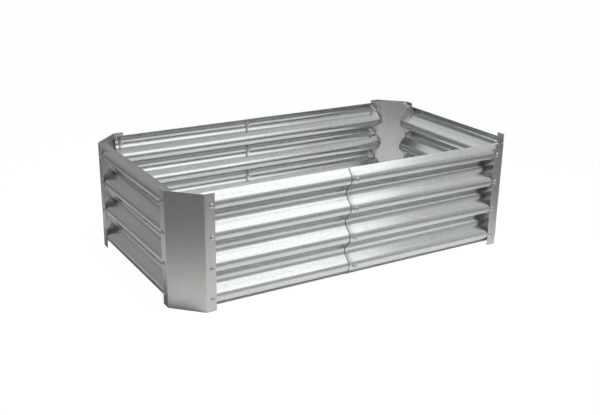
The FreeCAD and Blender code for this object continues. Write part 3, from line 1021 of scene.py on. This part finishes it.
def column(kind, place, blank, width, seat, seed):
    """Sets copies of a fastener up a column, each turned about its own line by chance.
    seat is how far the fastener's seat lies behind its outer end."""
    turn = TURNS[COLUMN_WALLS[place]]
    pitch = settings("bed_sheets").wave_pitch
    low, high = turned_box(f"{kind}_{place}", turn)
    rows = round((high.z - low.z - width) / pitch) + 1
    lowest = Vector(((low.x + high.x) / 2, low.y + seat, low.z + width / 2))
    chance = random.Random(seed)
    bm = bmesh.new()
    for row in range(rows):
        before = len(bm.verts)
        bm.from_mesh(blank)
        bm.verts.ensure_lookup_table()
        spin = Matrix.Rotation(chance.uniform(0, math.tau), 4, "Y")
        rise = Matrix.Translation(lowest + Z_AXIS * row * pitch)
        bmesh.ops.transform(bm, matrix=about_z(turn) @ rise @ spin, verts=bm.verts[before:])
    piece, material, slot = FASTENERS[kind]
    name = f"{piece}_{place}"
    finished(name, bm, (material,), FASTENER_SHARP, f"{kind}_{place}")


# Pieces


class BED_OT_walls(bpy.types.Operator):
    """Makes the six corrugated panels, lapped at the long walls' seams"""

    bl_idname = "garden_bed.walls"
    bl_label = "Walls"

    def execute(self, context):
        lap = settings("bed_sheets").lap_step
        for wall in ("front", "back"):
            wave_panel(f"panel_{wall}_left", wall, 0, "long_wall_zinc")
            wave_panel(f"panel_{wall}_right", wall, lap, "long_wall_zinc")
        for wall in ("left", "right"):
            wave_panel(f"panel_{wall}_end", wall, 0, "end_wall_zinc")
        return {"FINISHED"}


class BED_OT_posts(bpy.types.Operator):
    """Makes the four corner posts"""

    bl_idname = "garden_bed.posts"
    bl_label = "Corner posts"

    def execute(self, context):
        corner_post("post_front_left", 0)
        corner_post("post_front_right", 90)
        corner_post("post_back_right", 180)
        corner_post("post_back_left", 270)
        return {"FINISHED"}


class BED_OT_bolts(bpy.types.Operator):
    """Makes the ten columns of domed bolts"""

    bl_idname = "garden_bed.bolts"
    bl_label = "Bolts"

    def execute(self, context):
        sizes = settings("bed_fasteners")
        blank = bolt_mesh()
        for seed, place in enumerate(COLUMN_WALLS):
            column("bolts", place, blank, sizes.head_dia, sizes.head_height, seed)
        return {"FINISHED"}


class BED_OT_nuts(bpy.types.Operator):
    """Makes the ten columns of collared nuts"""

    bl_idname = "garden_bed.nuts"
    bl_label = "Nuts"

    def execute(self, context):
        width = settings("bed_fasteners").collar_dia
        blank = nut_mesh()
        # clear of the bolts' seeds, so that a nut isn't turned as its bolt is
        first_seed = 100
        for seed, place in enumerate(COLUMN_WALLS, first_seed):
            column("nuts", place, blank, width, 0.0, seed)
        return {"FINISHED"}


# Stage


def staged(name, bm, material):
    """Puts the mesh in the scene as an object, with its material."""
    mesh = as_mesh(bm, name)
    mesh.materials.append(material)
    thing = in_scene(name, mesh)
    return thing


def hang_light(lamp, place, aim):
    """Hangs a lamp at its place, turned to its aim and unseen by the camera."""
    holder = in_scene(lamp.name, lamp)
    way = Vector(aim) - Vector(place)
    holder.location = place
    holder.rotation_euler = way.to_track_quat("-Z", "Y").to_euler()
    holder.visible_camera = False
    return holder


def shown_rays(nodes):
    """1 for what the camera sees directly, in gloss or through glass."""
    path = nodes.add("ShaderNodeLightPath").outputs
    seen = nodes.math("MAXIMUM", path["Is Camera Ray"], path["Is Glossy Ray"])
    return nodes.math("MAXIMUM", seen, path["Is Transmission Ray"])


class BED_OT_stage(bpy.types.Operator):
    """Makes the floor, the light and the camera"""

    bl_idname = "garden_bed.stage"
    bl_label = "Stage"

    def execute(self, context):
        stage = settings("bed_stage")
        context.scene.view_settings.view_transform = "Standard"
        self.make_world(context.scene, stage)
        self.make_floor(stage)
        self.make_room(stage)
        self.make_softbox("softbox_front", stage.softbox_power, -1)
        self.make_softbox("softbox_back", stage.softbox_power * stage.back_share, 1)
        self.make_pool(stage)
        self.make_camera(context.scene, stage)
        return {"FINISHED"}

    def make_world(self, scene, stage):
        """Dim light from all round, which is white where it is seen."""
        world = bpy.data.worlds.new("studio")
        world.use_nodes = True
        scene.world = world
        nodes = Nodes(world.node_tree)
        strength = nodes.remap(shown_rays(nodes), stage.world_strength, 1.0)
        light = nodes.add("ShaderNodeBackground", {"Color": WHITE, "Strength": strength})
        nodes.add("ShaderNodeOutputWorld", {"Surface": light.outputs[0]})

    def make_floor(self, stage):
        """A floor that the camera sees as white, with a trace of the bed's shadow."""
        white_share = 0.90
        radius = 30.0
        material, nodes = new_material("pale_floor")
        plain = nodes.add("ShaderNodeBsdfDiffuse", {"Color": (*stage.floor_color, 1)})
        white = nodes.add(
            "ShaderNodeEmission", {"Color": WHITE, "Strength": stage.floor_glow}
        )
        # in the metal's gloss the floor is only as bright as the lamps make it
        gloss = nodes.add("ShaderNodeLightPath").outputs["Is Glossy Ray"]
        unless_gloss = nodes.remap(gloss, white_share, 0.0)
        share = nodes.math("MULTIPLY", shown_rays(nodes), unless_gloss)
        mixed = nodes.add(
            "ShaderNodeMixShader", {0: share, 1: plain.outputs[0], 2: white.outputs[0]}
        )
        nodes.add("ShaderNodeOutputMaterial", {"Surface": mixed.outputs[0]})
        bm = bmesh.new()
        bmesh.ops.create_circle(bm, cap_ends=True, segments=96, radius=radius)
        staged("floor", bm, material)

    def make_room(self, stage):
        """A dim room that only the metal's gloss sees. It is dark low down, and paler
        overhead and to the right."""
        radius = 4.0
        dark_below = 0.30 * radius
        pale_above = 0.75 * radius
        material, nodes = new_material("room_walls")
        spot = nodes.add("ShaderNodeTexCoord").outputs["Object"]
        place = nodes.add("ShaderNodeSeparateXYZ", {0: spot}).outputs
        rise = nodes.add(
            "ShaderNodeMapRange",
            {
                "Value": place["Z"], "From Min": dark_below, "From Max": pale_above,
                "To Min": stage.room_low, "To Max": stage.room_high,
            },
            interpolation_type="SMOOTHSTEP",
        ).outputs["Result"]
        side = nodes.math("MULTIPLY", place["X"], stage.room_side / radius)
        level = nodes.math("MULTIPLY", rise, nodes.math("ADD", side, 1.0))
        light = nodes.add("ShaderNodeEmission", {"Color": WHITE, "Strength": level})
        nodes.add("ShaderNodeOutputMaterial", {"Surface": light.outputs[0]})
        bm = bmesh.new()
        bmesh.ops.create_uvsphere(bm, u_segments=48, v_segments=24, radius=radius)
        room = staged("room", bm, material)
        for kind in ("camera", "diffuse", "transmission", "volume_scatter", "shadow"):
            setattr(room, f"visible_{kind}", False)

    def make_softbox(self, name, power, side):
        """A large softbox over one long wall. side is -1 in front and 1 behind."""
        lamp = bpy.data.lights.new(name, "AREA")
        lamp.shape = "RECTANGLE"
        lamp.size = 1.15
        lamp.size_y = 1.25
        lamp.energy = power
        place = (-0.28 * side, 0.90 * side, 1.14)
        aim = (-0.28 * side, 0.60 * side, 0.15)
        hang_light(lamp, place, aim)

    def make_pool(self, stage):
        """A lamp over the bed that lights the floor close round it."""
        lamp = bpy.data.lights.new("pool", "SPOT")
        lamp.energy = stage.pool_power
        lamp.shadow_soft_size = 0.25
        lamp.spot_size = math.radians(44)
        lamp.spot_blend = 0.6
        place = (0.0, -0.42, 2.2)
        aim = (-0.05, -0.04, 0.0)
        holder = hang_light(lamp, place, aim)
        # the cone is wider along the bed than across it
        holder.scale = (1.10, 1.0, 1.0)
        holder.visible_glossy = False

    def make_camera(self, scene, stage):
        """A camera where the photographer stood."""
        camera = bpy.data.cameras.new("camera")
        camera.lens = stage.camera_lens
        camera.sensor_width = 36.0
        camera.clip_end = 100.0
        turn = stage.camera_azimuth
        tilt = stage.camera_elevation
        level = Vector((-math.sin(turn), math.cos(turn), 0))
        ahead = level * math.cos(tilt) - Z_AXIS * math.sin(tilt)
        upright = ahead.to_track_quat("-Z", "Y").to_matrix()
        roll = Matrix.Rotation(stage.camera_roll, 3, "Z")
        holder = in_scene("camera", camera)
        holder.location = stage.camera_place
        holder.rotation_euler = (upright @ roll).to_euler()
        scene.camera = holder


# Add-on


OPERATORS = (BED_OT_walls, BED_OT_posts, BED_OT_bolts, BED_OT_nuts, BED_OT_stage)


class BED_PT_sidebar(bpy.types.Panel):
    """Lists the steps that make the bed, and its sizes and colours"""

    bl_idname = "BED_PT_sidebar"
    bl_label = "Garden Bed"
    bl_space_type = "VIEW_3D"
    bl_region_type = "UI"
    bl_category = "Garden Bed"

    def draw(self, context):
        for operator in OPERATORS:
            self.layout.operator(operator.bl_idname)
        for name, group in SETTINGS.items():
            box = self.layout.box()
            box.label(text=group.__doc__)
            for prop in group.__annotations__:
                box.prop(getattr(context.scene, name), prop)


def register():
    for group in (*SETTINGS.values(), *OPERATORS, BED_PT_sidebar):
        bpy.utils.register_class(group)
    for name, group in SETTINGS.items():
        setattr(bpy.types.Scene, name, PointerProperty(type=group))


def unregister():
    for name in SETTINGS:
        delattr(bpy.types.Scene, name)
    for group in (BED_PT_sidebar, *reversed(OPERATORS), *reversed(SETTINGS.values())):
        bpy.utils.unregister_class(group)


def main():
    register()
    bpy.ops.garden_bed.walls()
    bpy.ops.garden_bed.posts()
    bpy.ops.garden_bed.bolts()
    bpy.ops.garden_bed.nuts()
    bpy.ops.garden_bed.stage()


if __name__ == "__main__":
    main()
